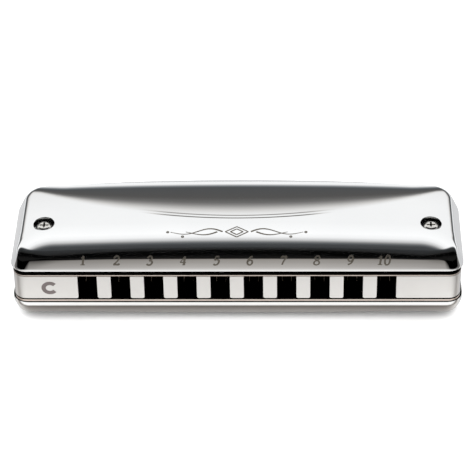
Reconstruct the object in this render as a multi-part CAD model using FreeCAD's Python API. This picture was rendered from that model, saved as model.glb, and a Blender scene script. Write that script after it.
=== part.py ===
import FreeCAD, Part
import math
import os

# A ten-hole diatonic harmonica as it comes apart on a bench: a metal comb between two reed plates,
# two pressed cover plates, twenty reeds, and the screws, nuts, rivets and bushes that hold it together.
# Frame: millimetres, +X along the row of holes (low notes at -X), the mouth side faces -Y, +Z is up.
# The origin is below the middle of the instrument, at the lowest point of the lower cover.

# ---- driving dimensions ----
HOLES = 10
HOLE_PITCH = 7.5
HOLE_WIDTH = 4.4

COVER_LENGTH = 102.2
COVER_DEPTH = 28.0
COVER_RISE = 5.9
COVER_SHEET = 0.6
COVER_CORNER = 3.6
REAR_CORNER = 4.4

COMB_LENGTH = 101.2
COMB_DEPTH = 27.0
COMB_HEIGHT = 6.2
COMB_CORNER = 2.9
COMB_SETBACK = 0.05
PLATE_THICKNESS = 1.0
EDGE_ROUND = 0.25
TINE_CORNER = 0.45
TINE_CORNER_DEPTH = 3.0

# lip that runs round the foot of a cover
LIP_HEIGHT = 0.95
LIP_STEP = 0.35
LIP_ROUND = 0.3

# crown of a cover, with heights measured from the face of its reed plate
CREST = 5.95
CREST_Y = -3.0
FRONT_ROLL_RADIUS = 35.0
ARCH_RADIUS = 1000.0
REAR_ARCH_RADIUS = 3000.0
CREASE_Y = -1.7
REAR_SLOPE = 4.2
WALL_DRAFT = 15.0
SHOULDER_RADIUS = 2.8
BACK_ALLOWANCE = 8.0

# cover screws and the pockets that they sit in
SCREW_X = 44.0
SCREW_Y = -2.2
POCKET_RADIUS = 2.37
POCKET_FLOOR = 3.2
SCREW_HEAD_RADIUS = 1.75
SCREW_HEAD_HEIGHT = 1.5
SCREW_RADIUS = 1.0
SCREW_CLEARANCE = 0.1
NUT_FLATS = 4.0
NUT_HEIGHT = 1.5
BUSH_RADIUS = 2.6

# reeds, their slots and their riveted roots
LONGEST_REED = 17.0
SHORTEST_REED = 8.5
REED_WIDTH = 2.0
REED_THICKNESS = 0.3
REED_SET = 0.05
SLOT_START = 6.0
SLOT_SIDE_GAP = 0.1
SLOT_TIP_GAP = 0.3
ROOT_GAP = 0.05
ROOT_LENGTH = 2.9
ROOT_WIDTH = 2.8
RIVET_RADIUS = 0.6
RIVET_HEAD_RADIUS = 0.95
RIVET_HEAD_HEIGHT = 0.25
CHAMBER_END_GAP = 1.2

# screws that hold the reed plates on the comb
FRONT_PLATE_SCREWS = ((-30.0, 4.3), (0.0, 4.3), (30.0, 4.3))
REAR_PLATE_SCREWS = ((-22.5, 24.6), (22.5, 24.6))
PLATE_SCREW_RADIUS = 0.7
PLATE_SCREW_CLEARANCE = 0.15
PLATE_SCREW_DEPTH = 2.5
PLATE_SCREW_HEAD_RADIUS = 1.3
PLATE_SCREW_HEAD_HEIGHT = 0.9

# ---- levels and edges that follow from them ----
COVER_FRONT = -COVER_DEPTH / 2
COVER_BACK = COVER_DEPTH / 2
COMB_FRONT = COVER_FRONT + COMB_SETBACK
COMB_BACK = COMB_FRONT + COMB_DEPTH
LOWER_PLATE_FACE = COVER_RISE
COMB_BOTTOM = LOWER_PLATE_FACE + PLATE_THICKNESS
COMB_TOP = COMB_BOTTOM + COMB_HEIGHT
UPPER_PLATE_FACE = COMB_TOP + PLATE_THICKNESS
MIDDLE = (COMB_BOTTOM + COMB_TOP) / 2
OVERSHOOT = 5.0

V = FreeCAD.Vector
UP = V(0, 0, 1)


def hole_x(index):
    """X of the centre line of a hole, counted from 0 at the low end."""
    return (index - (HOLES - 1) / 2) * HOLE_PITCH


def reed_length(index):
    """Free length of the reeds over a hole: an even run from the longest to the shortest."""
    return LONGEST_REED - (LONGEST_REED - SHORTEST_REED) * index / (HOLES - 1)


def slot_front():
    """Y of the front end of every reed slot."""
    return COMB_FRONT + SLOT_START


def slot_back(index):
    """Y of the back end of the slots over a hole."""
    return slot_front() + ROOT_GAP + reed_length(index) + SLOT_TIP_GAP


def box(x0, x1, y0, y1, z0, z1):
    """Block between two corners."""
    return Part.makeBox(x1 - x0, y1 - y0, z1 - z0, V(x0, y0, z0))


def rod(x, y, z0, z1, radius):
    """Upright cylinder between two levels."""
    return Part.makeCylinder(radius, z1 - z0, V(x, y, z0), UP)


def rounded_outline(half_x, front, back, radius, z):
    """Closed outline of a rectangle with four equal round corners, at level z."""
    corner = radius * (1 - math.sqrt(0.5))
    edges = []
    for sx, sy in ((1, -1), (1, 1), (-1, 1), (-1, -1)):
        y_edge = back if sy > 0 else front
        on_side = V(sx * half_x, y_edge - sy * radius, z)
        on_end = V(sx * (half_x - radius), y_edge, z)
        middle = V(sx * (half_x - corner), y_edge - sy * corner, z)
        first, last = (on_end, on_side) if sx * sy < 0 else (on_side, on_end)
        if edges:
            edges.append(Part.makeLine(edges[-1].lastVertex(True).Point, first))
        edges.append(Part.Arc(first, middle, last).toShape())
    edges.append(Part.makeLine(edges[-1].lastVertex(True).Point, edges[0].firstVertex(True).Point))
    return Part.Wire(edges)


def rounded_slab(half_x, front, back, radius, z0, z1):
    """Flat slab with round corners between two levels."""
    return Part.Face(rounded_outline(half_x, front, back, radius, z0)).extrude(V(0, 0, z1 - z0))


def rounded_edges(shape, radius, wanted):
    """Fillet the edges for which wanted(edge) is true."""
    return shape.makeFillet(radius, [edge for edge in shape.Edges if wanted(edge)])


def flipped(shape):
    """Mirror image of a piece across the middle level of the comb."""
    return shape.mirror(V(0, 0, MIDDLE), UP)


def plate_screw_places():
    """X and Y of every screw that holds a reed plate; the driving sizes give the inset from the front."""
    return [(x, COMB_FRONT + inset) for x, inset in FRONT_PLATE_SCREWS + REAR_PLATE_SCREWS]


# ---- comb ----

def tine_corner(x, side):
    """Sliver that rounds the foot of a tine where it meets a hole, for a short way in from the front."""
    edge = x + side * TINE_CORNER
    corner = box(min(x, edge), max(x, edge), COMB_FRONT - OVERSHOOT, COMB_FRONT + TINE_CORNER_DEPTH,
                 COMB_BOTTOM, COMB_BOTTOM + TINE_CORNER)
    round_part = Part.makeCylinder(TINE_CORNER, 2 * OVERSHOOT + TINE_CORNER_DEPTH,
                                   V(edge, COMB_FRONT - OVERSHOOT, COMB_BOTTOM + TINE_CORNER), V(0, 1, 0))
    return corner.cut(round_part)


def comb():
    """Bar of metal with ten chambers sawn in from the front, longer towards the low notes."""
    body = rounded_slab(COMB_LENGTH / 2, COMB_FRONT, COMB_BACK, COMB_CORNER, COMB_BOTTOM, COMB_TOP)
    for index in range(HOLES):
        x = hole_x(index)
        end = slot_back(index) + CHAMBER_END_GAP
        body = body.cut(box(x - HOLE_WIDTH / 2, x + HOLE_WIDTH / 2, COMB_FRONT - OVERSHOOT, end,
                            COMB_BOTTOM - OVERSHOOT, COMB_TOP + OVERSHOOT))
    for index in range(HOLES):
        for side in (-1, 1):
            body = body.cut(tine_corner(hole_x(index) + side * HOLE_WIDTH / 2, side))
    for side in (-1, 1):
        body = body.cut(rod(side * SCREW_X, SCREW_Y, COMB_BOTTOM - OVERSHOOT, COMB_TOP + OVERSHOOT,
                            SCREW_RADIUS + SCREW_CLEARANCE))
    for x, y in plate_screw_places():
        body = body.cut(rod(x, y, COMB_TOP - PLATE_SCREW_DEPTH, COMB_TOP + OVERSHOOT, PLATE_SCREW_RADIUS))
        body = body.cut(rod(x, y, COMB_BOTTOM - OVERSHOOT, COMB_BOTTOM + PLATE_SCREW_DEPTH,
                            PLATE_SCREW_RADIUS))
    return body


# ---- reed plates and reeds ----

def rivet_y(index, root_at_front):
    """Y of the rivet that holds a reed's root."""
    if root_at_front:
        return slot_front() - ROOT_LENGTH / 2
    return slot_back(index) + ROOT_LENGTH / 2


def reed_plate(z0, root_at_front):
    """Plate with ten slots, ten rivet holes, five screw holes and the two cover screw holes."""
    z1 = z0 + PLATE_THICKNESS
    plate = rounded_slab(COMB_LENGTH / 2, COMB_FRONT, COMB_BACK, COMB_CORNER, z0, z1)
    plate = rounded_edges(plate, EDGE_ROUND, lambda edge: edge.BoundBox.ZLength < 0.001)
    for index in range(HOLES):
        x = hole_x(index)
        half = REED_WIDTH / 2 + SLOT_SIDE_GAP
        plate = plate.cut(box(x - half, x + half, slot_front(), slot_back(index), z0 - 1, z1 + 1))
        plate = plate.cut(rod(x, rivet_y(index, root_at_front), z0 - 1, z1 + 1, RIVET_RADIUS))
    for x, y in plate_screw_places():
        plate = plate.cut(rod(x, y, z0 - 1, z1 + 1, PLATE_SCREW_RADIUS + PLATE_SCREW_CLEARANCE))
    for side in (-1, 1):
        plate = plate.cut(rod(side * SCREW_X, SCREW_Y, z0 - OVERSHOOT, z1 + OVERSHOOT,
                              SCREW_RADIUS + SCREW_CLEARANCE))
    return plate


def reed_tongue(index, plate_face, root_at_front):
    """Free part of a reed, hung just below the underside of its plate."""
    x = hole_x(index)
    top = plate_face - REED_SET
    if root_at_front:
        start = slot_front() + ROOT_GAP
    else:
        start = slot_front() + SLOT_TIP_GAP
    end = start + reed_length(index)
    return box(x - REED_WIDTH / 2, x + REED_WIDTH / 2, start, end, top - REED_THICKNESS, top)


def reed_root(index, plate_face, root_at_front):
    """Wider end of a reed that is riveted flat against its plate."""
    x = hole_x(index)
    rivet = rivet_y(index, root_at_front)
    root = box(x - ROOT_WIDTH / 2, x + ROOT_WIDTH / 2, rivet - ROOT_LENGTH / 2, rivet + ROOT_LENGTH / 2,
               plate_face - REED_THICKNESS, plate_face)
    return root.cut(rod(x, rivet, plate_face - 1, plate_face + 1, RIVET_RADIUS))


def reed_rivet(index, plate_face, root_at_front):
    """Rivet through a reed's root and its plate, with its head on the reed; its other end is flush."""
    x = hole_x(index)
    y = rivet_y(index, root_at_front)
    low = plate_face - REED_THICKNESS
    shank = rod(x, y, low, plate_face + PLATE_THICKNESS, RIVET_RADIUS)
    head = rod(x, y, low - RIVET_HEAD_HEIGHT, low, RIVET_HEAD_RADIUS)
    return shank.fuse(head).removeSplitter()


# ---- fasteners ----

def cross_recess(x, y, top, width):
    """Cross-shaped driver recess, narrow slots sunk from the top of a screw head."""
    slot = width / 4.5
    bar = box(x - width / 2, x + width / 2, y - slot / 2, y + slot / 2, top - width / 3, top + 1)
    other = bar.copy()
    other.rotate(V(x, y, top), UP, 90)
    return bar.fuse(other)


def pan_screw(x, y, seat, head_radius, head_height, shank_radius, shank_end):
    """Pan-head screw whose head stands on the level seat and whose shank runs down to shank_end."""
    head = rod(x, y, seat, seat + head_height, head_radius)
    head = rounded_edges(head, head_height * 0.45, lambda edge: edge.BoundBox.ZMin > seat + head_height / 2
                         and edge.BoundBox.ZLength < 0.001)
    head = head.cut(cross_recess(x, y, seat + head_height, head_radius * 1.15))
    return head.fuse(rod(x, y, shank_end, seat, shank_radius)).removeSplitter()


def upper_plate_screws():
    """Five screws from above through the upper reed plate into the comb."""
    return [pan_screw(x, y, UPPER_PLATE_FACE, PLATE_SCREW_HEAD_RADIUS, PLATE_SCREW_HEAD_HEIGHT,
                      PLATE_SCREW_RADIUS, COMB_TOP - PLATE_SCREW_DEPTH + 0.1)
            for x, y in plate_screw_places()]


def cover_screw(side):
    """Long screw from the upper cover's pocket to the nut in the lower cover's pocket."""
    lower_seat = LOWER_PLATE_FACE - POCKET_FLOOR
    return pan_screw(side * SCREW_X, SCREW_Y, UPPER_PLATE_FACE + POCKET_FLOOR, SCREW_HEAD_RADIUS,
                     SCREW_HEAD_HEIGHT, SCREW_RADIUS, lower_seat - NUT_HEIGHT)


def cover_nut(side):
    """Hexagon nut at the bottom of the lower cover's pocket."""
    seat = LOWER_PLATE_FACE - POCKET_FLOOR
    corner = NUT_FLATS / math.sqrt(3)
    points = [V(side * SCREW_X + corner * math.cos(math.radians(60 * k)),
                SCREW_Y + corner * math.sin(math.radians(60 * k)), seat - NUT_HEIGHT) for k in range(7)]
    nut = Part.Face(Part.makePolygon(points)).extrude(V(0, 0, NUT_HEIGHT))
    return nut.cut(rod(side * SCREW_X, SCREW_Y, seat - NUT_HEIGHT - OVERSHOOT, seat + OVERSHOOT,
                       SCREW_RADIUS))


def cover_bushes():
    """Four bushes that carry the pull of the cover screws from the pockets to the reed plates."""
    bushes = []
    for side in (-1, 1):
        x = side * SCREW_X
        top = UPPER_PLATE_FACE + POCKET_FLOOR - COVER_SHEET
        bush = rod(x, SCREW_Y, UPPER_PLATE_FACE, top, BUSH_RADIUS)
        bush = bush.cut(rod(x, SCREW_Y, UPPER_PLATE_FACE - OVERSHOOT, top + OVERSHOOT,
                           SCREW_RADIUS + SCREW_CLEARANCE))
        bushes += [bush, flipped(bush)]
    return bushes


# ---- cover plates ----

def arched_slab(profile, radius, centre_z):
    """Solid below a front-to-back profile that is carried along an arc across the instrument."""
    sweep = 2 * math.degrees(math.asin((COVER_LENGTH / 2 + OVERSHOOT) / radius))
    axis_point = V(0, 0, centre_z)
    solid = Part.Face(Part.Wire(profile)).revolve(axis_point, V(0, 1, 0), sweep)
    solid.rotate(axis_point, V(0, 1, 0), -sweep / 2)
    return solid


def crown_slab(crest, shell):
    """Arched slab whose top rolls down to the front; shell is how far it lies below the outside."""
    reach = COVER_DEPTH
    roll = FRONT_ROLL_RADIUS - shell
    y0 = COVER_FRONT - 2
    y1 = CREST_Y
    drop = roll - math.sqrt(roll ** 2 - (y1 - y0) ** 2)
    half_drop = roll - math.sqrt(roll ** 2 - ((y1 - y0) / 2) ** 2)
    front = V(0, y0, crest - drop)
    top = V(0, y1, crest)
    back = V(0, reach, crest)
    arc = Part.Arc(front, V(0, (y0 + y1) / 2, crest - half_drop), top).toShape()
    low_back = V(0, reach, -reach)
    low_front = V(0, y0, -reach)
    profile = [arc, Part.makeLine(top, back), Part.makeLine(back, low_back),
               Part.makeLine(low_back, low_front), Part.makeLine(low_front, front)]
    return arched_slab(profile, ARCH_RADIUS, crest - ARCH_RADIUS)


def rear_slab(crest):
    """Flatter arched slab that slopes down to the back, and so cuts the curved crease."""
    reach = COVER_DEPTH * 2
    corners = [V(0, -reach, crest), V(0, reach, crest), V(0, reach, -reach), V(0, -reach, -reach)]
    profile = [Part.makeLine(corners[k], corners[(k + 1) % 4]) for k in range(4)]
    slab = arched_slab(profile, REAR_ARCH_RADIUS, crest - REAR_ARCH_RADIUS)
    slab.rotate(V(0, CREASE_Y, crest), V(1, 0, 0), -REAR_SLOPE)
    return slab


def domed_body(inset):
    """Solid dome of a cover, drawn in by inset from the outside, standing on the level 0.

    It runs on past the back of the cover, so that the back can be cut off open.
    """
    height = CREST + 1
    foot = LIP_STEP + inset
    half = COVER_LENGTH / 2 - foot
    front = COVER_FRONT + foot
    back = COVER_BACK + BACK_ALLOWANCE
    draw = height * math.tan(math.radians(WALL_DRAFT))
    bottom = rounded_outline(half, front, back, COVER_CORNER - foot, 0)
    top = rounded_outline(half - draw, front + draw, back, COVER_CORNER - foot, height)
    crest = CREST - inset
    body = Part.makeLoft([bottom, top], True, True).common(crown_slab(crest, inset))
    body = rounded_edges(body, SHOULDER_RADIUS - inset, lambda edge: edge.BoundBox.ZMin > LIP_HEIGHT
                         and edge.BoundBox.YMax < COVER_FRONT + 3 * COVER_CORNER
                         and edge.BoundBox.XLength > COVER_LENGTH / 2)
    level = Part.makeBox(4 * COVER_DEPTH, 4 * COVER_DEPTH, COVER_RISE - inset,
                         V(-2 * COVER_DEPTH, -2 * COVER_DEPTH, 0))
    return body.common(rear_slab(crest)).common(level)


def cover():
    """Cover plate standing on the level 0: a thin domed shell, open at the back, with two pockets."""
    half = COVER_LENGTH / 2
    trim = rounded_slab(half, COVER_FRONT - OVERSHOOT, COVER_BACK, REAR_CORNER, 0, COVER_RISE)
    dome = domed_body(0).common(trim)
    lip = rounded_edges(rounded_slab(half, COVER_FRONT, COVER_BACK, COVER_CORNER, 0, LIP_HEIGHT), LIP_ROUND,
                        lambda edge: edge.BoundBox.ZLength < 0.001)
    shell = dome.fuse(lip.common(trim)).cut(domed_body(COVER_SHEET))
    for side in (-1, 1):
        x = side * SCREW_X
        cup = rod(x, SCREW_Y, POCKET_FLOOR - COVER_SHEET, COVER_RISE, POCKET_RADIUS + COVER_SHEET)
        shell = shell.fuse(cup.common(dome))
        shell = shell.cut(rod(x, SCREW_Y, POCKET_FLOOR, COVER_RISE + OVERSHOOT, POCKET_RADIUS))
        shell = shell.cut(rod(x, SCREW_Y, 0, COVER_RISE, SCREW_RADIUS + SCREW_CLEARANCE))
    return shell.removeSplitter()


def covers():
    """Upper cover on the upper reed plate, and the lower cover as its mirror image."""
    upper = cover()
    upper.translate(V(0, 0, UPPER_PLATE_FACE))
    return upper, flipped(upper)


# ---- all pieces ----

def pieces():
    """Every piece of the instrument by name; a list is a group of like pieces."""
    made = {
        "comb": comb(),
        "upper_reed_plate": reed_plate(COMB_TOP, True),
        "lower_reed_plate": reed_plate(LOWER_PLATE_FACE, False),
        "upper_plate_screws": upper_plate_screws(),
        "lower_plate_screws": [flipped(screw) for screw in upper_plate_screws()],
        "cover_bushes": cover_bushes(),
    }
    made["upper_cover"], made["lower_cover"] = covers()
    for name, side in (("left", -1), ("right", 1)):
        made[f"{name}_cover_screw"] = cover_screw(side)
        made[f"{name}_cover_nut"] = cover_nut(side)
    for kind, face, root_at_front in (("blow", COMB_TOP, True), ("draw", LOWER_PLATE_FACE, False)):
        made[f"{kind}_reed_roots"] = [reed_root(k, face, root_at_front) for k in range(HOLES)]
        made[f"{kind}_reed_rivets"] = [reed_rivet(k, face, root_at_front) for k in range(HOLES)]
        for index in range(HOLES):
            made[f"{kind}_reed_{index + 1}"] = reed_tongue(index, face, root_at_front)
    return made


def main():
    """Write every piece to its own file."""
    os.makedirs("parts", exist_ok=True)
    for name, piece in pieces().items():
        shape = Part.makeCompound(piece) if isinstance(piece, list) else piece
        shape.exportStep(f"parts/{name}.step")


if __name__ == "__main__":
    main()
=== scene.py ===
import enum
import logging
import math
from dataclasses import dataclass, field, replace
from typing import Any, Iterable, Sequence

import bmesh
import bpy
import numpy as np
from bpy.types import Material, Node, NodeSocket, NodeTree, Object
from mathutils import Euler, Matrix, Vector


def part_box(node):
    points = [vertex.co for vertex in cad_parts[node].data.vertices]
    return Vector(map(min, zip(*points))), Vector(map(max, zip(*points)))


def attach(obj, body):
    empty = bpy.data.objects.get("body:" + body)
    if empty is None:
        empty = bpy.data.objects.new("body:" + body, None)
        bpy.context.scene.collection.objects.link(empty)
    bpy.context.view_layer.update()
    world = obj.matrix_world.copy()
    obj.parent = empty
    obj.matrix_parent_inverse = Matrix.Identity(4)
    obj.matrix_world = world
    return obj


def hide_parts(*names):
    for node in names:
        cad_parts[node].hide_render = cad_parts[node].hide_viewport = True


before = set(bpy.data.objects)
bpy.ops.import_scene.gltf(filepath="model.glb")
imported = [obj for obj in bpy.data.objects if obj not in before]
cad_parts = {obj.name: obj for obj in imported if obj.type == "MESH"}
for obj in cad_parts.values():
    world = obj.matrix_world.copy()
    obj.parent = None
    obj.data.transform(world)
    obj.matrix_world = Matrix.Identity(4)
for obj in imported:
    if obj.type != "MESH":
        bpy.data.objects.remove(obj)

LOG = logging.getLogger("harmonica")
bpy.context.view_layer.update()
MM = 0.001
HOLES = 10
HOLE_PITCH = 7.5
# Where the bar and the plates line the mouth holes, along the instrument and front to back, in millimetres.
# There black is painted on the bar, the plates and the reeds, for the shade inside the holes.
THROAT_X = (-37.5, 37.5)
THROAT_Y = (-13.8, -3.0)
THROAT_PAINTED_SHADE = "090706"


class Surface(enum.IntEnum):
    """Part of a sheet that a face belongs to: the number of its material slot."""

    OUTSIDE = 0
    # Faces under a cover's lip, which get black painted shade.
    JOINT = 1
    INSIDE = 2


# ---------------------------------------- colours and nodes

def linear(hex_colour: str) -> tuple[float, float, float, float]:
    """Turn an sRGB hex colour into linear light.

    Args:
        hex_colour: six hex digits, such as "8A7F70".

    Returns:
        Red, green, blue and an alpha of one, in linear light.
    """
    channels = [int(hex_colour[k:k + 2], 16) / 255 for k in (0, 2, 4)]
    light = [c / 12.92 if c <= 0.04045 else ((c + 0.055) / 1.055) ** 2.4 for c in channels]
    return (light[0], light[1], light[2], 1.0)


def add_node(tree: NodeTree, kind: str, settings: dict[str, Any] | None = None,
             inputs: dict[Any, Any] | None = None) -> Node:
    """Add a node, set its own settings, and set or link its inputs.

    Args:
        tree: the node tree that gets the node.
        kind: the node's type name.
        settings: values of the node's own properties.
        inputs: socket name or number to a value, or to the output socket that feeds it.

    Returns:
        The new node.
    """
    node = tree.nodes.new(kind)
    for name, value in (settings or {}).items():
        setattr(node, name, value)
    for name, value in (inputs or {}).items():
        if isinstance(value, NodeSocket):
            tree.links.new(value, node.inputs[name])
        else:
            node.inputs[name].default_value = value
    return node


def compute(tree: NodeTree, operation: str, *values: NodeSocket | float) -> NodeSocket:
    """Add a math node on numbers and output sockets, and give its result."""
    return add_node(tree, "ShaderNodeMath", {"operation": operation}, dict(enumerate(values))).outputs[0]


def remap(tree: NodeTree, value: NodeSocket, low: float, high: float, start: float = 0.0,
          end: float = 1.0) -> NodeSocket:
    """Value carried from the range low to high onto start to end, and held beyond it."""
    return add_node(tree, "ShaderNodeMapRange", inputs={
        "Value": value, "From Min": low, "From Max": high, "To Min": start, "To Max": end}).outputs[0]


def mix_colour(tree: NodeTree, share: NodeSocket, first: Any, second: Any) -> NodeSocket:
    """First colour where the share is zero, second where it is one; each a colour or an output socket."""
    return add_node(tree, "ShaderNodeMix", {"data_type": "RGBA"}, {
        "Factor": share, "A": first, "B": second}).outputs["Result"]


def coordinates(tree: NodeTree, space: str) -> Sequence[NodeSocket]:
    """X, Y and Z of the shaded place, in the space of that name."""
    place = add_node(tree, "ShaderNodeTexCoord").outputs[space]
    return list(add_node(tree, "ShaderNodeSeparateXYZ", inputs={0: place}).outputs)


def new_material(name: str) -> tuple[Material, NodeTree]:
    """Make a material with an empty node tree."""
    material = bpy.data.materials.new(name)
    material.use_nodes = True
    material.node_tree.nodes.clear()
    return material, material.node_tree


def ramp_stops(node: Node, stops: Sequence[tuple[float, tuple[float, float, float]]]) -> None:
    """Give a colour ramp its stops.

    Args:
        node: the colour ramp node.
        stops: position and linear colour of each stop, in rising order.
    """
    elements = node.color_ramp.elements
    while len(elements) < len(stops):
        elements.new(1.0)
    for element, (position, colour) in zip(elements, stops):
        element.position = position
        element.color = (*colour, 1.0)


# ---------------------------------------- finishes

@dataclass(frozen=True)
class Metal:
    """A bare or plated metal with a worked surface, as a family of finishes.

    The grain is noise drawn out along the instrument, like the trace of a belt or a buffing wheel.
    """

    name: str
    colour: str
    dark_colour: str
    roughness: tuple[float, float]
    grain_mm: float
    grain_stretch: float
    grain_depth_mm: float
    stain_mm: float = 18.0
    # Levels in millimetres of a band painted black, for the shade in the gap at a plate's edge.
    seam_shade_mm: tuple[float, float] | None = None
    # Whether black is painted in the mouth holes' throats, for the shade inside them.
    throat_shade: bool = False

    def band(self, tree: NodeTree, value: NodeSocket, low: float, high: float) -> NodeSocket:
        """One where a coordinate lies between two places given in millimetres, zero elsewhere."""
        middle, half = (low + high) / 2 * MM, (high - low) / 2 * MM
        return compute(tree, "COMPARE", value, middle, half)

    def paint_shade(self, tree: NodeTree, colour: NodeSocket) -> NodeSocket:
        """Paint shade: a black band at one level for the shade in the gap at a plate's edge, and black in the
        throats of the mouth holes for the shade inside them, where the finish has them.

        Args:
            tree: the material's tree.
            colour: the metal's own colour.

        Returns:
            The colour with the painted shade.
        """
        x, y, z = coordinates(tree, "Object")
        masks = []
        if self.seam_shade_mm:
            masks.append(self.band(tree, z, *self.seam_shade_mm))
        if self.throat_shade:
            across, deep = self.band(tree, x, *THROAT_X), self.band(tree, y, *THROAT_Y)
            masks.append(compute(tree, "MULTIPLY", across, deep))
        for mask in masks:
            colour = mix_colour(tree, mask, colour, linear(THROAT_PAINTED_SHADE))
        return colour

    def material(self) -> Material:
        """Make the finish: stained colour with its painted shade, uneven gloss and a fine directional grain.
        """
        material, tree = new_material(self.name)
        shader = add_node(tree, "ShaderNodeBsdfPrincipled", inputs={"Metallic": 1.0})
        add_node(tree, "ShaderNodeOutputMaterial", inputs={"Surface": shader.outputs[0]})
        place = add_node(tree, "ShaderNodeTexCoord").outputs["Object"]
        stain = add_node(tree, "ShaderNodeTexNoise", inputs={
            "Vector": place, "Scale": 1 / (self.stain_mm * MM), "Detail": 3.0, "Roughness": 0.55})
        tone = mix_colour(tree, stain.outputs["Fac"], linear(self.dark_colour), linear(self.colour))
        tree.links.new(self.paint_shade(tree, tone), shader.inputs["Base Color"])
        drawn = add_node(tree, "ShaderNodeMapping", inputs={
            "Vector": place, "Scale": (1 / self.grain_stretch, 1.0, 1.0)})
        grain = add_node(tree, "ShaderNodeTexNoise", inputs={
            "Vector": drawn.outputs[0], "Scale": 1 / (self.grain_mm * MM), "Detail": 4.0, "Roughness": 0.6})
        gloss = remap(tree, grain.outputs["Fac"], 0.3, 0.7, *self.roughness)
        tree.links.new(gloss, shader.inputs["Roughness"])
        bump = add_node(tree, "ShaderNodeBump", inputs={
            "Strength": 0.6, "Distance": self.grain_depth_mm * MM, "Height": grain.outputs["Fac"]})
        tree.links.new(bump.outputs[0], shader.inputs["Normal"])
        return material


# The inside of the pressing, never polished: the plating is thin and dull there.
RAW_INSIDE = Metal("thin_plate_unpolished", "8E8981", "736E66", (0.35, 0.5), 0.25, 3.0, 0.003, 6.0)
# Chromium plate over brass, pressed and then buffed to a mirror: a cold, almost black and white gloss.
POLISHED_PLATE = Metal("chromium_plate_buffed", "E4E5E5", "DCDDDE", (0.02, 0.045), 0.5, 14.0, 0.00004)
# Aluminium bar, milled, ground along its length and clear anodised: a soft pale sheen with fine streaks.
# Black is painted on it in the mouth holes' throats, for their shade.
SATIN_BAR = Metal("anodised_aluminium_ground", "D9D8D7", "CDCCCA", (0.30, 0.42), 0.16, 24.0, 0.0012,
                  throat_shade=True)
# Brass plate under satin nickel: warmer and duller than the bar. A black band painted along its upper edge
# stands for the shade in the gap under the cover's lip.
UPPER_NICKEL = Metal("satin_nickel_upper_plate", "CFC4BC", "BDB1A8", (0.26, 0.38), 0.2, 10.0, 0.001,
                     seam_shade_mm=(13.5, 14.2), throat_shade=True)
# The lower plate's painted black band lies at its joint with the comb, for the shade in that groove.
LOWER_NICKEL = replace(UPPER_NICKEL, name="satin_nickel_lower_plate", seam_shade_mm=(6.5, 7.0))
# Rolled reed brass, left bare: yellow, with the streaks of the rolling mill. Black is painted on it in the
# mouth holes' throats, for their shade.
REED_BRASS = Metal("reed_brass_rolled", "D9B46A", "C29A50", (0.22, 0.36), 0.12, 12.0, 0.0012, throat_shade=True)
# Nickel plated steel, turned and tumbled: bright, slightly uneven gloss.
SCREW_STEEL = Metal("nickel_plated_steel_tumbled", "DDDCD8", "C6C4C0", (0.10, 0.2), 0.12, 1.0, 0.001, 2.0)
# The same plate where it has been etched through a stencil: matte and darker.
ETCHED_METAL = Metal("etched_chromium_plate", "8A847B", "77726A", (0.5, 0.65), 0.08, 1.0, 0.002, 1.5)
# Grey stoving ink printed on the bar.
PRINTED_INK = Metal("grey_stoving_ink", "8F8786", "817979", (0.5, 0.6), 0.1, 1.0, 0.001, 1.5)
# The unpolished joint under a cover's lip, painted black for the shade in that recess: it reads as a dark
# line.
JOINT_PAINTED_SHADE = Metal("joint_painted_shade", "0B0A0A", "050505", (0.6, 0.8), 0.2, 1.0, 0.002)


# ---------------------------------------- mesh work

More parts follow.
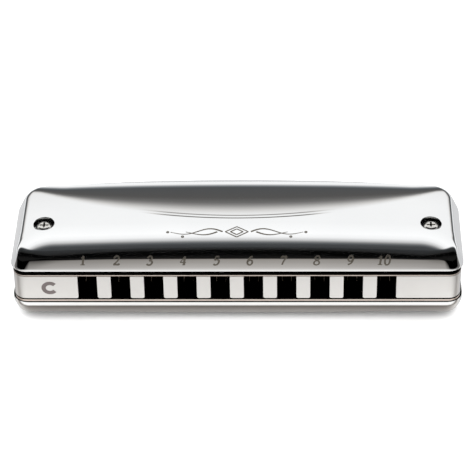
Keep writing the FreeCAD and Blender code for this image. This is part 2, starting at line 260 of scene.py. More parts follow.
@dataclass
class Patchwork:
    """Collects grids of points, in millimetres, and joins them into one mesh."""

    points: list[np.ndarray] = field(default_factory=list)
    faces: list[np.ndarray] = field(default_factory=list)
    finishes: list[np.ndarray] = field(default_factory=list)
    count: int = 0

    def add(self, points: np.ndarray, faces: np.ndarray, finish: Surface = Surface.OUTSIDE) -> None:
        """Add loose points and the four-cornered faces between them.

        Args:
            points: n by 3 array of places.
            faces: m by 4 array of indices into points.
            finish: material slot of these faces.
        """
        self.points.append(points.reshape(-1, 3).copy())
        self.faces.append(faces.reshape(-1, 4) + self.count)
        self.finishes.append(np.full(faces.size // 4, finish, np.int32))
        self.count += len(self.points[-1])

    def grid(self, points: np.ndarray, wrap: bool = False, keep: np.ndarray | None = None,
             finish: Surface = Surface.OUTSIDE) -> None:
        """Add a two-parameter grid of points.

        Args:
            points: rows by columns by 3 array.
            wrap: whether the last column joins the first.
            keep: rows-1 by columns (or columns-1) mask of the faces to make.
            finish: material slot of these faces.
        """
        rows, columns = points.shape[:2]
        index = np.arange(rows * columns).reshape(rows, columns)
        if wrap:
            index = np.concatenate([index, index[:, :1]], axis=1)
        faces = np.stack([index[:-1, :-1], index[:-1, 1:], index[1:, 1:], index[1:, :-1]], axis=-1)
        if keep is not None:
            faces = faces[keep]
        self.add(points, faces, finish)

    def object(self, name: str, materials: Sequence[Material], sharp_degrees: float = 35.0,
               merge_mm: float = 0.0005, flip_z: float | None = None) -> Object:
        """Join all grids into one object at the origin.

        Args:
            name: name of the piece.
            materials: one material for each finish, in order.
            sharp_degrees: edges that turn by more than this stay sharp.
            merge_mm: points closer than this become one.
            flip_z: mirror the piece in this level, in millimetres, if given.

        Returns:
            The new object.
        """
        points = np.concatenate(self.points)
        if flip_z is not None:
            points = points * (1, 1, -1) + (0, 0, 2 * flip_z)
        faces = np.concatenate(self.faces)
        mesh = bpy.data.meshes.new(name)
        mesh.from_pydata((points * MM).tolist(), [], faces.tolist())
        mesh.polygons.foreach_set("material_index", np.concatenate(self.finishes))
        work = bmesh.new()
        work.from_mesh(mesh)
        bmesh.ops.remove_doubles(work, verts=work.verts, dist=merge_mm * MM)
        bmesh.ops.recalc_face_normals(work, faces=work.faces)
        work.to_mesh(mesh)
        work.free()
        mesh.polygons.foreach_set("use_smooth", np.ones(len(mesh.polygons), bool))
        mesh.set_sharp_from_angle(angle=math.radians(sharp_degrees))
        for material in materials:
            mesh.materials.append(material)
        piece = bpy.data.objects.new(name, mesh)
        bpy.context.scene.collection.objects.link(piece)
        return piece


def blend_between(start: np.ndarray, end: np.ndarray, steps: int) -> np.ndarray:
    """Grid of straight lines from each start point to its end point.

    Args:
        start: n by d array.
        end: n by d array.
        steps: number of steps along each line.

    Returns:
        steps+1 by n by d array.
    """
    share = np.linspace(0, 1, steps + 1)[:, None, None]
    return start[None] * (1 - share) + end[None] * share


def smooth_step(value: np.ndarray, low: float, high: float) -> np.ndarray:
    """Zero below low, one above high, and a smooth cubic between."""
    share = np.clip((value - low) / (high - low), 0, 1)
    return share * share * (3 - 2 * share)


# ---------------------------------------- cover plates

@dataclass
class Skin:
    """One side of a cover's sheet: how its outlines and its levels differ from the outside."""

    inset: float
    lip_insets: tuple[float, ...]
    lip_levels: tuple[float, ...]


@dataclass
class CoverPlate:
    """Domed cover with a lip at its foot, two screw pockets and an open back. Sizes in millimetres.

    Levels are measured from the face of the reed plate that the cover stands on.
    """

    length: float = 102.2
    depth: float = 28.0
    sheet: float = 0.6
    crest: float = 6.1
    crest_inset: float = 11.0
    crest_turn: tuple[float, float] = (40.3, 9.0)
    front_roll: float = 35.0
    arch: float = 1000.0
    crease_inset: float = 12.3
    crease_bow: float = 185.0
    crease_reach: float = 24.0
    crease_step: float = 0.016
    crease_gap: float = 1.0
    crease_width: float = 0.4
    crease_clearance: float = 1.5
    rear_slope: float = 0.07
    rear_roll: float = 12.0
    rear_roll_reach: float = 4.3
    rear_roll_fade: float = 60.0
    rear_bow: float = 2.3
    joint: float = 0.12
    lip_top: float = 0.9
    lip_step: float = 0.055
    lip_setback: float = 0.295
    lip_section: tuple[float, ...] = (0.5, 0.5, 0.26, 0.1, 0.03, 0.0, 0.0, 0.004, 0.015, 0.033)
    above_joint: tuple[float, ...] = (0.0, 0.01, 0.03, 0.07, 0.16)
    below_top: tuple[float, ...] = (0.4, 0.3, 0.2, 0.1, 0.0)
    wall_drafts: tuple[float, float] = (12.5, 17.0)
    side_lean: float = 0.2
    wall_rise: float = 2.4
    side_rise: float = 0.9
    hold: float = 0.56
    tighter: tuple[float, float, float] = (0.28, 0.22, 0.84)
    foot_corners: tuple[float, float] = (3.5, 6.0)
    corner_ease: float = 0.72
    corner_reach: tuple[float, float] = (0.5, 10.0)
    roof_insets: tuple[float, float, float] = (2.6, 3.2, 1.0)
    roof_corners: tuple[float, float] = (2.0, 5.0)
    straight_x: float = 40.5
    straight_y: tuple[float, float] = (-3.7, 7.0)
    steps_x: int = 110
    crease_band: tuple[float, float] = (-2.6, 3.0)
    steps_y: tuple[int, int, int] = (6, 62, 16)
    steps_corner: int = 24
    wall_steps: int = 6
    roll_steps: int = 22
    opening_half: float = 39.5
    opening_row: int = 13
    pocket_x: float = 44.0
    pocket_y: float = -2.2
    pocket_radius: float = 2.37
    pocket_margin: float = 0.2
    pocket_floor: float = 3.2
    rim_round: float = 0.09
    screw_hole: float = 1.1

    @property
    def front(self) -> float:
        """Y of the lip's front."""
        return -self.depth / 2

    def top(self, x: np.ndarray, y: np.ndarray) -> np.ndarray:
        """Level of the roof over a place.

        The roof is an arch across the instrument. In front of the crest line, which turns forward at the
        corners, it falls away on a circle.
        Behind a crease that bows back towards the ends its slope grows evenly up to the rear roll, which
        is a tighter circle. Two fine steps, side by side, mark the crease and fade towards its ends.
        """
        inset = y - self.front
        level = self.crest - x ** 2 / (2 * self.arch)
        start, radius = self.crest_turn
        turned = np.clip((np.abs(x) - start) / radius, 0, 1)
        crest_line = self.crest_inset - radius * (1 - np.sqrt(1 - turned ** 2))
        level = level - np.clip(crest_line - inset, 0, None) ** 2 / (2 * self.front_roll)
        crease = self.crease_inset + x ** 2 / self.crease_bow
        back = self.depth - self.roof_insets[2] + self.bow(x)
        roll = back - self.rear_roll_reach * np.clip(1 - (x / self.rear_roll_fade) ** 2, 0, 1)
        crease = np.minimum(crease, roll - self.crease_clearance)
        run = np.clip(inset - crease, 0, None)
        level = level - self.rear_slope * run ** 2 / (2 * (roll - crease))
        level = level - np.clip(inset - roll, 0, None) ** 2 / (2 * self.rear_roll)
        fade = 1 - smooth_step(np.abs(x), self.crease_reach * 0.6, self.crease_reach)
        for offset, share in ((0.0, 1.0), (self.crease_gap, 0.6)):
            step = smooth_step(run - offset, 0.0, self.crease_width)
            level = level - self.crease_step * share * fade * step
        return level

    def drape(self, plan: np.ndarray, lift: float) -> np.ndarray:
        """Places in plan, brought to the roof's level and a lift above it."""
        return np.concatenate([plan, self.top(plan[..., :1], plan[..., 1:]) + lift], axis=-1)

    def bow(self, x: np.ndarray) -> np.ndarray:
        """How far the back edge bows out behind its ends at a place along the instrument."""
        return self.rear_bow * np.clip(1 - (x / self.straight_x) ** 2, 0, 1)

    def slope(self, x: np.ndarray, y: np.ndarray, towards: np.ndarray) -> np.ndarray:
        """Rise of the roof per millimetre along a direction in plan, by a central difference."""
        step = 0.02
        ahead = self.top(x + towards[:, 0] * step, y + towards[:, 1] * step)
        behind = self.top(x - towards[:, 0] * step, y - towards[:, 1] * step)
        return (ahead - behind) / (2 * step)

    def corner(self, half: float, edge: float, radius: float, limit_x: float, limit_y: float,
               steps: int) -> np.ndarray:
        """Right-hand corner of an outline: a straight end, a quarter circle and a straight end.

        The points are evenly spaced from (limit_x, edge) to (half, limit_y).
        """
        turn = 1.0 if limit_y > edge else -1.0
        run_in = half - radius - limit_x
        arc = radius * math.pi / 2
        run_out = abs(limit_y - edge) - radius
        along = np.linspace(0, run_in + arc + run_out, steps + 1)
        angle = np.clip((along - run_in) / radius, 0, math.pi / 2)
        x = limit_x + np.minimum(along, run_in) + radius * np.sin(angle)
        y = edge + turn * (radius * (1 - np.cos(angle)) + np.clip(along - run_in - arc, 0, None))
        return np.stack([x, y], axis=-1)

    def outline(self, insets: Sequence[float], corners: Sequence[float]) -> np.ndarray:
        """Closed outline in plan, from the middle of the front left corner, turning left.

        Args:
            insets: distance inside the lip's outline at the front, the sides and the back.
            corners: radius of the front and of the back corners.

        Returns:
            n by 2 array; every outline has the same columns along its straight runs.
        """
        half = self.length / 2 - insets[1]
        front = self.front + self.lip_setback + insets[0]
        back = -self.front - insets[2]
        low, high = self.straight_y
        near = self.corner(half, front, corners[0], self.straight_x, low, self.steps_corner)
        far = self.corner(half, back, corners[1], self.straight_x, high, self.steps_corner)[::-1]
        middle = self.steps_corner // 2
        run = np.linspace(-self.straight_x, self.straight_x, self.steps_x + 1)[1:-1]
        marks = (low, *self.crease_band, high)
        rise = np.concatenate([np.linspace(a, b, n, endpoint=False)
                               for a, b, n in zip(marks, marks[1:], self.steps_y)])[1:]
        mirror = np.array([-1, 1])
        return np.concatenate([
            (near * mirror)[:middle + 1][::-1],
            np.stack([run, np.full_like(run, front)], axis=-1),
            near,
            np.stack([np.full_like(rise, half), rise], axis=-1),
            far,
            np.stack([run[::-1], back + self.bow(run)], axis=-1),
            (far * mirror)[::-1],
            np.stack([np.full_like(rise, -half), rise[::-1]], axis=-1),
            (near * mirror)[middle + 1:][::-1]])

    def wall(self, inset: float) -> np.ndarray:
        """Rows of the wall and of its roll into the roof, for a skin that lies inset inside the outside."""
        foot = self.outline([self.lip_step + inset] * 3, [r - inset for r in self.foot_corners])
        rim = self.outline([value + inset for value in self.roof_insets],
                           [r - inset / 2 for r in self.roof_corners])
        return self.profiles(foot, rim, inset)

    def profiles(self, foot: np.ndarray, rim: np.ndarray, inset: float) -> np.ndarray:
        """Upright profiles from places at the wall's foot to places on the roof's rim.

        In the upright plane of each column the wall climbs from the lip on a slightly curved line, whose
        draft grows evenly, and a cubic curve then turns it over to meet the roof at the roof's own slope.
        The sides are higher and lean more than the front. Near the front corners the wall gets lower, so
        that the roll comes down to the lip.

        Args:
            foot: n by 2 array of places in plan.
            rim: n by 2 array of places in plan.
            inset: how far the skin lies inside the outside.

        Returns:
            rows by n by 3 array.
        """
        gap = rim - foot
        length = np.linalg.norm(gap, axis=1)
        towards = gap / length[:, None]
        end_level = self.top(rim[:, 0], rim[:, 1]) - inset
        end_slope = self.slope(rim[:, 0], rim[:, 1], towards)
        away = np.hypot(np.abs(foot[:, 0]) - self.length / 2, foot[:, 1] - self.front - self.lip_setback)
        corner = 1 - smooth_step(away, *self.corner_reach)
        side = np.abs(towards[:, 0]) ** 2
        low, high = (math.tan(math.radians(a)) + self.side_lean * side for a in self.wall_drafts)
        rise = np.minimum(self.wall_rise + self.side_rise * side, 0.8 * (end_level - self.lip_top))
        rise = rise * (1 - self.corner_ease * corner ** 2)
        climb = np.linspace(0, 1, self.wall_steps + 1)[:, None] * rise
        wall = np.stack([low * climb + (high - low) / (2 * self.wall_rise) * climb ** 2,
                         self.lip_top + climb], axis=-1)
        bend = wall[-1]
        lean = low + (high - low) / self.wall_rise * rise
        run = length - bend[:, 0]
        meet = (end_level - bend[:, 1] - end_slope * run) / (1 / lean - end_slope)
        knee = bend + np.stack([meet, meet / lean], axis=-1)
        end = np.stack([length, end_level], axis=-1)
        at_side, at_corner, most = self.tighter
        hold = np.minimum(self.hold + at_side * side + at_corner * corner, most)[:, None]
        first = bend + (knee - bend) * hold
        last = end + (knee - end) * hold
        share = np.linspace(0, 1, self.roll_steps + 1)[:, None, None]
        roll = ((1 - share) ** 3 * bend + 3 * share * (1 - share) ** 2 * first
                + 3 * share ** 2 * (1 - share) * last + share ** 3 * end)
        profile = np.concatenate([wall[:-1], roll])
        plan = foot[None] + towards[None] * profile[..., :1]
        return np.concatenate([plan, profile[..., 1:]], axis=-1)

    def front_profile(self, x: np.ndarray) -> np.ndarray:
        """Y and level of the outside, from the lip to the roof's rim, above places along the front."""
        front = self.front + self.lip_setback
        foot = np.stack([x, np.full_like(x, front + self.lip_step)], axis=-1)
        rim = np.stack([x, np.full_like(x, front + self.roof_insets[0])], axis=-1)
        return self.profiles(foot, rim, 0.0)[..., 1:]

    def lip(self, skin: Skin) -> np.ndarray:
        """Rows of the lip at the foot of the wall, each an outline at one level."""
        rows = []
        for inset, level in zip(skin.lip_insets, skin.lip_levels):
            plan = self.outline([inset] * 3, [r + self.lip_step - inset for r in self.foot_corners])
            rows.append(np.column_stack([plan, np.full(len(plan), level)]))
        return np.stack(rows)

    def roof(self, rim: np.ndarray, inset: float) -> np.ndarray:
        """Grid of the roof inside its rim, by bilinear blending of the four sides in plan.

        Args:
            rim: closed outline of the roof.
            inset: how far the skin lies below the outside.

        Returns:
            rows (front to back) by columns (left to right) by 3 array.
        """
        across = self.steps_x + self.steps_corner
        deep = sum(self.steps_y) + self.steps_corner
        ring = np.concatenate([rim, rim[:1]])[:, :2]
        south = ring[:across + 1]
        east = ring[across:across + deep + 1]
        north = ring[across + deep:2 * across + deep + 1][::-1]
        west = ring[2 * across + deep:][::-1]
        u = np.linspace(0, 1, across + 1)[None, :, None]
        v = np.linspace(0, 1, deep + 1)[:, None, None]
        plan = ((1 - v) * south[None] + v * north[None] + (1 - u) * west[:, None] + u * east[:, None]
                - (1 - u) * (1 - v) * south[0] - u * (1 - v) * south[-1]
                - (1 - u) * v * north[0] - u * v * north[-1])
        return self.drape(plan, -inset)

    def pocket_window(self, plan: np.ndarray, side: float) -> tuple[int, int, int, int]:
        """First and last row and column of the block of roof that a pocket takes up."""
        reach = self.pocket_radius + self.sheet + self.pocket_margin
        deep = plan.shape[0] // 2
        across = int(np.argmin(np.abs(plan[deep, :, 0] - side * self.pocket_x)))
        rows = np.flatnonzero(np.abs(plan[:, across, 1] - self.pocket_y) < reach)
        columns = np.flatnonzero(np.abs(plan[deep, :, 0] - side * self.pocket_x) < reach)
        return int(rows[0]), int(rows[-1]), int(columns[0]), int(columns[-1])

    def pocket(self, block: np.ndarray, side: float, inset: float) -> np.ndarray:
        """Rows of a pocket, from the edge of its block of roof to the screw hole.

        The edge shrinks to a circle on the roof, a small round turns it down, a straight wall goes to the
        floor, and the floor runs in to the hole.

        Args:
            block: grid of roof points whose border is the pocket's outer edge.
            side: -1 for the left pocket, 1 for the right one.
            inset: how far the skin lies below the outside.

        Returns:
            rows by n by 3 array.
        """
        border = np.concatenate([block[0, :-1], block[:-1, -1], block[-1, :0:-1], block[:0:-1, 0]])
        centre = np.array([side * self.pocket_x, self.pocket_y])
        arm = border[:, :2] - centre
        direction = arm / np.linalg.norm(arm, axis=1)[:, None]
        radius = self.pocket_radius + inset
        edge = centre + direction * (radius + self.rim_round)
        plan = blend_between(border[:, :2], edge, 6)
        flat = self.drape(plan, -inset)
        rim_level = flat[-1, :, 2]
        rows = list(flat)
        for angle in np.radians([22.5, 45, 67.5, 90]):
            place = centre + direction * (radius + self.rim_round * (1 - math.sin(angle)))
            rows.append(np.column_stack([place, rim_level - self.rim_round * (1 - math.cos(angle))]))
        floor, brink = self.pocket_floor - inset, rows[-1][:, 2]
        for share in (0.35, 0.7, 1.0):
            level = brink * (1 - share) + floor * share
            rows.append(np.column_stack([centre + direction * radius, level]))
        for reach in (radius * 0.75, self.screw_hole):
            rows.append(np.column_stack([centre + direction * reach, np.full(len(direction), floor)]))
        return np.stack(rows)

    def skin(self, work: Patchwork, skin: Skin) -> tuple[np.ndarray, np.ndarray, list[np.ndarray]]:
        """Add one side of the sheet.

        Returns:
            The rows of its walls, the mask of the wall faces, and the edge of each screw hole.
        """
        walls = self.wall(skin.inset)
        rows = np.concatenate([self.lip(skin)[:-1], walls])
        keep = self.kept_faces(rows)
        joint_rows = len(skin.lip_levels) // 2 if skin.inset == 0 else 0
        work.grid(rows[:joint_rows + 1], wrap=True, keep=keep[:joint_rows], finish=Surface.JOINT)
        face = Surface.OUTSIDE if skin.inset == 0 else Surface.INSIDE
        work.grid(rows[joint_rows:], wrap=True, keep=keep[joint_rows:], finish=face)
        roof = self.roof(walls[-1], skin.inset)
        open_roof = np.ones((roof.shape[0] - 1, roof.shape[1] - 1), bool)
        holes = []
        for side in (-1, 1):
            r0, r1, c0, c1 = self.pocket_window(self.roof(self.wall(0.0)[-1], 0.0), side)
            open_roof[r0:r1, c0:c1] = False
            rows_in = self.pocket(roof[r0:r1 + 1, c0:c1 + 1], side, skin.inset)
            work.grid(rows_in, wrap=True, finish=face)
            holes.append(rows_in[-1])
        work.grid(roof, keep=open_roof, finish=face)
        return rows, keep, holes

    def kept_faces(self, rows: np.ndarray) -> np.ndarray:
        """Mask of the wall faces: all but those in the sound opening at the back."""
        first_roll = len(rows) - 1 - self.roll_steps
        low = np.arange(len(rows) - 1)[:, None] < first_roll + self.opening_row
        x, y = rows[-1, :, 0], rows[-1, :, 1]
        middle = (x + np.roll(x, -1)) / 2
        return ~(low & (y > 0) & (np.abs(middle) < self.opening_half))

    def bridge(self, work: Patchwork, outer: np.ndarray, inner: np.ndarray, keep: np.ndarray) -> None:
        """Close the sheet's edges: the underside of the foot and the border of the sound opening."""
        rows, columns = outer.shape[:2]
        index = np.arange(rows * columns).reshape(rows, columns)
        other = index + rows * columns
        following = np.roll(index, -1, axis=1)
        other_following = np.roll(other, -1, axis=1)
        padded = np.concatenate([np.zeros((1, columns), bool), keep, np.ones((1, columns), bool)])
        level = padded[1:] & ~padded[:-1]
        flat = np.stack([index, following, other_following, other], axis=-1)[level]
        upright = keep != np.roll(keep, 1, axis=1)
        ends = np.stack([index[:-1], index[1:], other[1:], other[:-1]], axis=-1)[upright]
        work.add(np.concatenate([outer.reshape(-1, 3), inner.reshape(-1, 3)]), np.concatenate([flat, ends]))

    def build(self, name: str, node: str, face_mm: float, down: bool,
              materials: Sequence[Material]) -> Object:
        """Build one cover and let it stand for its CAD node.

        Args:
            name: name of the piece.
            node: CAD node that it replaces.
            face_mm: level of the reed plate's face.
            down: whether the cover hangs below that face.
            materials: one for each Surface, in order.

        Returns:
            The cover.
        """
        lip_levels = (0.0, *(self.joint + d for d in self.above_joint),
                      *(self.lip_top - d for d in self.below_top))
        outside = Skin(0.0, (*self.lip_section, self.lip_step), lip_levels)
        levels = tuple(np.linspace(0, self.lip_top, len(lip_levels)))
        inside = Skin(self.sheet, (self.lip_step + self.sheet,) * len(lip_levels), levels)
        work = Patchwork()
        outer, keep, outer_holes = self.skin(work, outside)
        inner, _, inner_holes = self.skin(work, inside)
        self.bridge(work, outer, inner, keep)
        for upper, lower in zip(outer_holes, inner_holes):
            work.grid(np.stack([upper, lower]), wrap=True)
        for points in work.points:
            points[:, 2] += face_mm
        piece = work.object(name, materials, flip_z=face_mm if down else None)
        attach(piece, "root")
        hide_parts(node)
        return piece


# ---------------------------------------- markings

def smooth_line(points: Sequence[tuple[float, float]], steps: int = 6) -> np.ndarray:
    """Line through the points, rounded by a Catmull-Rom curve: each run is a cubic of its four neighbours.

    Args:
        points: places in plan.
        steps: pieces of each run.

    Returns:
        n by 2 array.
    """
    base = np.array(points, float)
    line = np.concatenate([2 * base[:1] - base[1:2], base, 2 * base[-1:] - base[-2:-1]])
    p0, p1, p2, p3 = line[:-3, None], line[1:-2, None], line[2:-1, None], line[3:, None]
    t = np.linspace(0, 1, steps, endpoint=False)[None, :, None]
    curve = 0.5 * (2 * p1 + (p2 - p0) * t + (2 * p0 - 5 * p1 + 4 * p2 - p3) * t ** 2
                   + (3 * p1 - p0 - 3 * p2 + p3) * t ** 3)
    return np.concatenate([curve.reshape(-1, 2), base[-1:]])


def ribbon(line: np.ndarray, width: np.ndarray | float) -> np.ndarray:
    """Flat ribbon along a line: two edges half a width to either side of it.

    Args:
        line: n by 2 array.
        width: full width, one number or one for each point.

    Returns:
        2 by n by 2 array.
    """
    tangent = np.gradient(line, axis=0)
    tangent /= np.linalg.norm(tangent, axis=1)[:, None]
    side = np.stack([-tangent[:, 1], tangent[:, 0]], axis=-1) * (np.asarray(width).reshape(-1, 1) / 2)
    return np.stack([line - side, line + side])


# Strokes of the digits, one unit tall: the points, and the share of the full stroke width.
DIGITS: dict[str, list[tuple[list[tuple[float, float]], float]]] = {
    "1": [([(0.06, 0.8), (0.16, 0.88), (0.26, 0.99)], 0.5),
          ([(0.27, 0.98), (0.27, 0.5), (0.27, 0.04)], 1.0),
          ([(0.06, 0.03), (0.27, 0.03), (0.48, 0.03)], 0.5)],
    "2": [([(0.04, 0.76), (0.1, 0.93), (0.28, 1.0), (0.46, 0.9), (0.48, 0.7), (0.34, 0.42), (0.04, 0.05)],
           0.8),
          ([(0.03, 0.06), (0.25, 0.07), (0.5, 0.05), (0.53, 0.2)], 1.0)],
    "3": [([(0.05, 0.82), (0.14, 0.96), (0.3, 0.99), (0.43, 0.88), (0.41, 0.68), (0.2, 0.55)], 0.75),
          ([(0.2, 0.55), (0.42, 0.48), (0.5, 0.26), (0.38, 0.05), (0.16, 0.0), (0.03, 0.14)], 0.95)],
    "4": [([(0.36, 0.98), (0.2, 0.64), (0.02, 0.3)], 0.5), ([(0.02, 0.3), (0.26, 0.3), (0.55, 0.3)], 0.6),
          ([(0.38, 0.99), (0.38, 0.5), (0.38, 0.04)], 1.0),
          ([(0.24, 0.03), (0.38, 0.03), (0.52, 0.03)], 0.5)],
    "5": [([(0.49, 0.96), (0.3, 0.95), (0.14, 0.96)], 0.8), ([(0.14, 0.96), (0.1, 0.72), (0.07, 0.55)], 0.5),
          ([(0.07, 0.55), (0.25, 0.64), (0.45, 0.54), (0.49, 0.3), (0.38, 0.08), (0.17, 0.0), (0.03, 0.12)],
           0.9)],
    "6": [([(0.46, 0.98), (0.22, 0.82), (0.06, 0.5), (0.07, 0.18), (0.24, 0.0), (0.42, 0.08), (0.5, 0.3),
            (0.42, 0.52), (0.24, 0.56), (0.08, 0.4)], 0.85)],
    "7": [([(0.05, 0.8), (0.1, 0.94), (0.3, 0.94), (0.52, 0.96)], 0.9),
          ([(0.52, 0.96), (0.36, 0.6), (0.24, 0.3), (0.2, 0.02)], 0.8)],
    "8": [([(0.28, 0.54), (0.1, 0.66), (0.1, 0.88), (0.28, 1.0), (0.46, 0.88), (0.44, 0.66), (0.28, 0.54),
            (0.06, 0.38), (0.05, 0.12), (0.26, 0.0), (0.48, 0.12), (0.48, 0.36), (0.28, 0.54)], 0.75)],
    "9": [([(0.08, 0.02), (0.32, 0.18), (0.48, 0.5), (0.47, 0.82), (0.3, 1.0), (0.12, 0.92), (0.04, 0.7),
            (0.12, 0.48), (0.3, 0.44), (0.46, 0.6)], 0.85)],
    "0": [([(0.28, 1.0), (0.12, 0.88), (0.05, 0.5), (0.12, 0.12), (0.28, 0.0), (0.44, 0.12), (0.51, 0.5),
            (0.44, 0.88), (0.28, 1.0)], 0.85)],
}


@dataclass
class Markings:
    """Etched hole numbers and scroll on the upper cover, and the printed key letter. Sizes in millimetres."""

    cover: CoverPlate
    face: float
    lift: float = 0.012
    stroke: float = 0.5
    number_foot: float = 1.9
    number_rise: float = 2.0
    number_width: float = 2.45
    number_lean: float = 0.12
    number_shift: float = -0.7
    digit_pitch: float = 0.62
    digit_middle: float = 0.27
    scroll_y: float = -6.4
    scroll_line: float = 0.3
    waves: tuple[tuple[float, ...], ...] = ((3.2, 15.0, 1.15, 2.0), (4.4, 11.5, -1.25, 1.0))
    dots: tuple[tuple[float, float], ...] = ((15.6, 0.0), (12.2, -1.5))
    lozenge: tuple[float, float] = (2.6, 1.7)
    dot_radius: float = 0.22
    letter_place: tuple[float, float] = (-42.3, 9.85)
    letter_size: tuple[float, float] = (1.42, 1.32)
    letter_stroke: float = 0.98

    def on_front(self, plan: np.ndarray) -> np.ndarray:
        """Lay points on the cover's front wall.

        Args:
            plan: array of X and of level above the reed plate's face.

        Returns:
            Array of places just off the wall, at that level on the wall's own profile.
        """
        flat = plan.reshape(-1, 2)
        profile = self.cover.front_profile(flat[:, 0])
        row = np.clip((profile[..., 1] < flat[:, 1]).sum(axis=0), 1, len(profile) - 1)
        column = np.arange(len(flat))
        below, above = profile[row - 1, column], profile[row, column]
        share = ((flat[:, 1] - below[:, 1]) / (above[:, 1] - below[:, 1]))[:, None]
        place = below + (above - below) * share
        rise = above - below
        out = np.stack([-rise[:, 1], rise[:, 0]], axis=-1)
        place = place + out / np.linalg.norm(out, axis=1)[:, None] * self.lift
        laid = np.column_stack([flat[:, 0], place[:, 0], place[:, 1] + self.face])
        return laid.reshape(*plan.shape[:-1], 3)

    def on_roof(self, plan: np.ndarray) -> np.ndarray:
        """Lay points in plan just above the cover's roof."""
        return self.cover.drape(plan, self.face + self.lift)

    def numbers(self, finish: Material) -> Iterable[Object]:
        """Make the ten numbers, one piece each."""
        for hole in range(HOLES):
            text = str(hole + 1)
            work = Patchwork()
            middle = (hole - (HOLES - 1) / 2) * HOLE_PITCH + self.number_shift
            for place, digit in enumerate(text):
                offset = (place - (len(text) - 1) / 2) * self.digit_pitch - self.digit_middle
                for points, weight in DIGITS[digit]:
                    line = smooth_line(points)
                    edges = ribbon(line * self.number_width, self.stroke * weight) / self.number_width
                    x = middle + (edges[..., 0] + offset + self.number_lean * (edges[..., 1] - 0.5)) \
                        * self.number_width
                    level = self.number_foot + self.number_rise * edges[..., 1]
                    work.grid(self.on_front(np.stack([x, level], axis=-1)))
            yield self.finish(work, f"hole_number_{text}", finish, "polished_cover")

    def scroll(self, finish: Material) -> Object:
        """Make the scroll: a double lozenge between two long waves, each with a shorter wave and a dot.

        A wave, given by its start, end, rise and half turns, is a sine along X that fades towards its
        end, and its line thins out with it.
        """
        work = Patchwork()
        middle = np.array([0.0, self.scroll_y])
        for size in (1.0, 0.55):
            corners = np.array([(0, 1), (1, 0), (0, -1), (-1, 0)]) * self.lozenge * size
            for first, second in zip(corners, np.roll(corners, -1, axis=0)):
                line = first + (second - first) * np.linspace(0, 1, 5)[:, None]
                work.grid(self.on_roof(ribbon(line, self.scroll_line) + middle))
        for side in (-1, 1):
            for start, end, rise, turns in self.waves:
                share = np.linspace(0, 1, 60)
                x = side * (start + (end - start) * share)
                y = rise * np.sin(share * turns * math.pi) * (1 - 0.5 * share)
                width = self.scroll_line * (1.5 - share)
                work.grid(self.on_roof(ribbon(np.stack([x, y], axis=-1), width) + middle))
            for x, y in self.dots:
                turn = np.linspace(0, 2 * math.pi, 17)
                ring = self.dot_radius * np.stack([np.cos(turn), np.sin(turn)], axis=-1) + (side * x, y)
                work.grid(self.on_roof(ribbon(ring, self.scroll_line) + middle))
        return self.finish(work, "engraved_scroll", finish, "polished_cover")

    def letter(self, front: float, finish: Material) -> Object:
        """Make the note letter: an open ring with upright cut ends, on the face of the comb."""
        turn = np.radians(np.linspace(40, 320, 41))
        ring = np.stack([np.cos(turn), np.sin(turn)], axis=-1) * self.letter_size
        flat = ribbon(ring, self.letter_stroke) + self.letter_place
        points = np.stack([flat[..., 0], np.full(flat.shape[:-1], front - self.lift), flat[..., 1]], axis=-1)
        work = Patchwork()
        work.grid(points)
        return self.finish(work, "printed_note_letter", finish, "comb_metal")

    def finish(self, work: Patchwork, name: str, material: Material,
               slot: str) -> Object:
        """Make the piece and fix it to the instrument."""
        piece = work.object(name, [material], merge_mm=0.0)
        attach(piece, "root")
        return piece


# ---------------------------------------- stage

# What the metal mirrors of the floor, with painted shade: metres in front of the instrument's middle, and
# linear colour. It holds painted shade: darker under the instrument, a painted shadow band about 14 to 18 mm
# in front, and dimmer and warmer further away.
MIRRORED_FLOOR_SHADE = [
    (0.0, (0.42, 0.42, 0.425)), (0.01, (0.45, 0.45, 0.45)), (0.013, (0.74, 0.7, 0.66)),
    (0.0145, (0.34, 0.31, 0.28)), (0.0155, (0.17, 0.15, 0.135)), (0.0163, (0.09, 0.08, 0.07)),
    (0.017, (0.06, 0.05, 0.045)), (0.0185, (0.84, 0.83, 0.81)), (0.022, (0.84, 0.83, 0.81)),
    (0.032, (0.57, 0.56, 0.55)), (0.045, (0.62, 0.61, 0.6)), (0.09, (0.31, 0.295, 0.28)),
    (0.14, (0.24, 0.227, 0.212)), (0.3, (0.18, 0.166, 0.152)), (0.6, (0.148, 0.132, 0.119)),
    (1.0, (0.1, 0.09, 0.08))]
COOL, WARM, PLAIN = (0.95, 1.0, 1.05), (1.0, 0.975, 0.95), (1.0, 1.0, 1.0)
# What the metal mirrors of the studio: degrees about the X axis from the front horizon, level and tint.
MIRRORED_SKY = [
    (0, 0.012, WARM), (15, 0.012, WARM), (45, 0.001, PLAIN), (78, 0.001, PLAIN), (88, 0.02, PLAIN),
    (112, 0.04, COOL), (118.8, 0.08, COOL), (120.4, 0.16, COOL), (121.6, 0.36, PLAIN), (123, 0.74, PLAIN),
    (126, 1.2, PLAIN), (130, 1.32, PLAIN), (143.6, 1.2, PLAIN), (145, 0.85, WARM), (146, 0.42, WARM),
    (147, 0.19, WARM), (148.4, 0.115, WARM), (152, 0.105, COOL), (157, 0.3, COOL), (167, 1.2, PLAIN),
    (180, 1.2, PLAIN)]


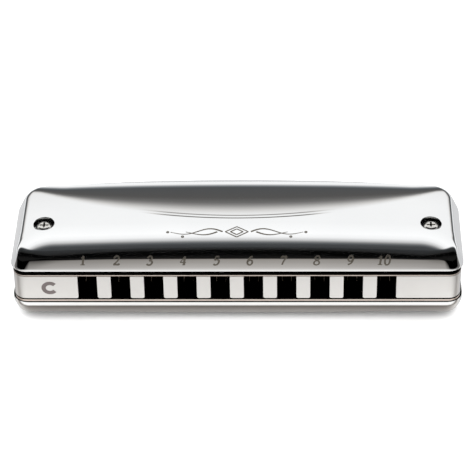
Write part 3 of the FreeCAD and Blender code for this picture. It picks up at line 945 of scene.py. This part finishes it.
@dataclass
class Studio:
    """Pale floor, soft light and the camera. Lengths are in metres.

    The dome's two numbers are its rise towards the zenith and its level at the horizon.
    """

    camera_place: tuple[float, float, float] = (0.012164, -0.423385, 0.340727)
    camera_turn: tuple[float, float, float] = (52.3132, 0.8631, 0.9997)
    lens_mm: float = 177.11
    sensor_mm: float = 36.0
    floor_half: float = 3.0
    floor_drop: float = 0.00004
    # Two patches of painted shade in what the metal mirrors of the floor, and how dark each is.
    ends_x: tuple[float, float] = (0.015, 0.075)
    far_y: tuple[float, float] = (0.035, 0.08)
    far_painted_shade: float = 0.36
    side_x: tuple[float, float] = (0.0525, 0.075)
    side_y: tuple[float, float] = (0.01, 0.016)
    side_painted_shade: float = 0.85
    dome: tuple[float, float] = (2.4, 1.15)
    backdrop: float = 1.05

    def camera(self) -> None:
        """Place the camera in front of the instrument, looking down on it."""
        data = bpy.data.cameras.new("camera")
        data.lens = self.lens_mm
        data.sensor_width = self.sensor_mm
        camera = bpy.data.objects.new("camera", data)
        camera.location = self.camera_place
        camera.rotation_euler = Euler([math.radians(a) for a in self.camera_turn], "XYZ")
        bpy.context.scene.collection.objects.link(camera)
        bpy.context.scene.camera = camera

    def floor(self) -> None:
        """Lay a wide pale sheet under the instrument."""
        half = self.floor_half
        mesh = bpy.data.meshes.new("floor")
        mesh.from_pydata([(-half, -half, 0), (half, -half, 0), (half, half, 0), (-half, half, 0)], [],
                         [(0, 1, 2, 3)])
        mesh.materials.append(self.floor_material())
        floor = bpy.data.objects.new("floor", mesh)
        floor.location = (0, 0, -self.floor_drop)
        bpy.context.scene.collection.objects.link(floor)

    def floor_material(self) -> Material:
        """White card. What the metal mirrors of it is painted with shade: it grows dimmer and warmer away
        from the instrument, with a painted shadow band close in front.

        Two patches of painted shade lie in the mirrored card: far in front of the ends (ends_x, far_y), and
        beside them (side_x, side_y).
        """
        material, tree = new_material("white_card")
        x, y, _ = coordinates(tree, "Object")
        forward, across = compute(tree, "MULTIPLY", y, -1.0), compute(tree, "ABSOLUTE", x)
        ramp = add_node(tree, "ShaderNodeValToRGB", inputs={"Fac": forward})
        ramp_stops(ramp, MIRRORED_FLOOR_SHADE)
        # Painted shade: the two dark patches in the mirrored floor.
        loss = compute(tree, "MULTIPLY", remap(tree, across, *self.ends_x, 0.0, self.far_painted_shade),
                       remap(tree, forward, *self.far_y))
        painted_shade = compute(tree, "MULTIPLY_ADD", remap(tree, across, *self.side_x, 0.0, self.side_painted_shade),
                       remap(tree, forward, *self.side_y), loss)
        shaded_mirror_colour = mix_colour(tree, painted_shade, ramp.outputs["Color"], (0, 0, 0, 1))
        seen = add_node(tree, "ShaderNodeBsdfDiffuse", inputs={"Color": (0.95, 0.95, 0.95, 1)})
        mirrored = add_node(tree, "ShaderNodeBsdfDiffuse", inputs={"Color": shaded_mirror_colour})
        ray = add_node(tree, "ShaderNodeLightPath")
        mix = add_node(tree, "ShaderNodeMixShader", inputs={
            0: ray.outputs["Is Glossy Ray"], 1: seen.outputs[0], 2: mirrored.outputs[0]})
        add_node(tree, "ShaderNodeOutputMaterial", inputs={"Surface": mix.outputs[0]})
        return material

    def world(self) -> None:
        """Soft dome for matt surfaces, a plain white backdrop, and a studio for the metal to mirror.

        The mirrored studio depends on the angle about the X axis, from 0 at the front horizon over 90
        overhead to 180 at the back horizon: a black front, a long soft box above and behind, a dark gap
        under it, and a white sweep at the back.
        """
        world = bpy.data.worlds.new("studio")
        bpy.context.scene.world = world
        world.use_nodes = True
        tree = world.node_tree
        tree.nodes.clear()
        _, y, z = coordinates(tree, "Generated")
        angle = compute(tree, "ARCTAN2", z, compute(tree, "MULTIPLY", y, -1.0))
        ramp = add_node(tree, "ShaderNodeValToRGB", inputs={"Fac": remap(tree, angle, 0.0, math.pi)})
        ramp_stops(ramp, [(a / 180, tuple(level * t for t in tint)) for a, level, tint in MIRRORED_SKY])
        ray = add_node(tree, "ShaderNodeLightPath")
        mirrored = add_node(tree, "ShaderNodeBackground", inputs={"Color": ramp.outputs["Color"]})
        squared = compute(tree, "MULTIPLY", z, z)
        dome = add_node(tree, "ShaderNodeBackground", inputs={
            "Strength": compute(tree, "MULTIPLY_ADD", squared, *self.dome)})
        direct = compute(tree, "LESS_THAN", ray.outputs["Diffuse Depth"], 0.5)
        seen = compute(tree, "MULTIPLY", ray.outputs["Is Glossy Ray"], direct)
        first = add_node(tree, "ShaderNodeMixShader", inputs={
            0: seen, 1: dome.outputs[0], 2: mirrored.outputs[0]})
        backdrop = add_node(tree, "ShaderNodeBackground", inputs={
            "Color": (1, 1, 1, 1), "Strength": self.backdrop})
        second = add_node(tree, "ShaderNodeMixShader", inputs={
            0: ray.outputs["Is Camera Ray"], 1: first.outputs[0], 2: backdrop.outputs[0]})
        add_node(tree, "ShaderNodeOutputWorld", inputs={"Surface": second.outputs[0]})

    def build(self) -> None:
        """Set up the whole stage."""
        self.camera()
        self.floor()
        self.world()
        bpy.context.scene.view_settings.view_transform = "Standard"


def dress(nodes: Iterable[str], material: Material) -> None:
    """Give CAD nodes a material in place of their plain one."""
    for name in nodes:
        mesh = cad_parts[name].data
        mesh.materials.clear()
        mesh.materials.append(material)


def main() -> None:
    """Build and dress every piece in order."""
    logging.basicConfig(level=logging.INFO, format="%(name)s: %(message)s")
    Studio().build()
    sheet = [POLISHED_PLATE.material(), JOINT_PAINTED_SHADE.material(), RAW_INSIDE.material()]
    brass = REED_BRASS.material()
    steel = SCREW_STEEL.material()
    dress(["comb"], SATIN_BAR.material())
    dress(["upper_reed_plate"], UPPER_NICKEL.material())
    dress(["lower_reed_plate"], LOWER_NICKEL.material())
    dress([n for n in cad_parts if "_reed_" in n and "plate" not in n], brass)
    dress(["cover_bushes"], brass)
    dress([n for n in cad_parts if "screw" in n or "nut" in n], steel)
    upper, lower = CoverPlate(), CoverPlate(joint=0.25, lip_top=1.62, wall_rise=1.8)
    upper_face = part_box("upper_reed_plate")[1].z / MM
    lower_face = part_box("lower_reed_plate")[0].z / MM
    markings = Markings(upper, upper_face)
    etched = ETCHED_METAL.material()
    for piece in (upper.build("upper_cover_plate", "upper_cover", upper_face, False, sheet),
                  lower.build("lower_cover_plate", "lower_cover", lower_face, True, sheet),
                  *markings.numbers(etched), markings.scroll(etched),
                  markings.letter(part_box("comb")[0].y / MM, PRINTED_INK.material())):
        LOG.info("%s: %d faces", piece.name, len(piece.data.polygons))


if __name__ == "__main__":
    main()
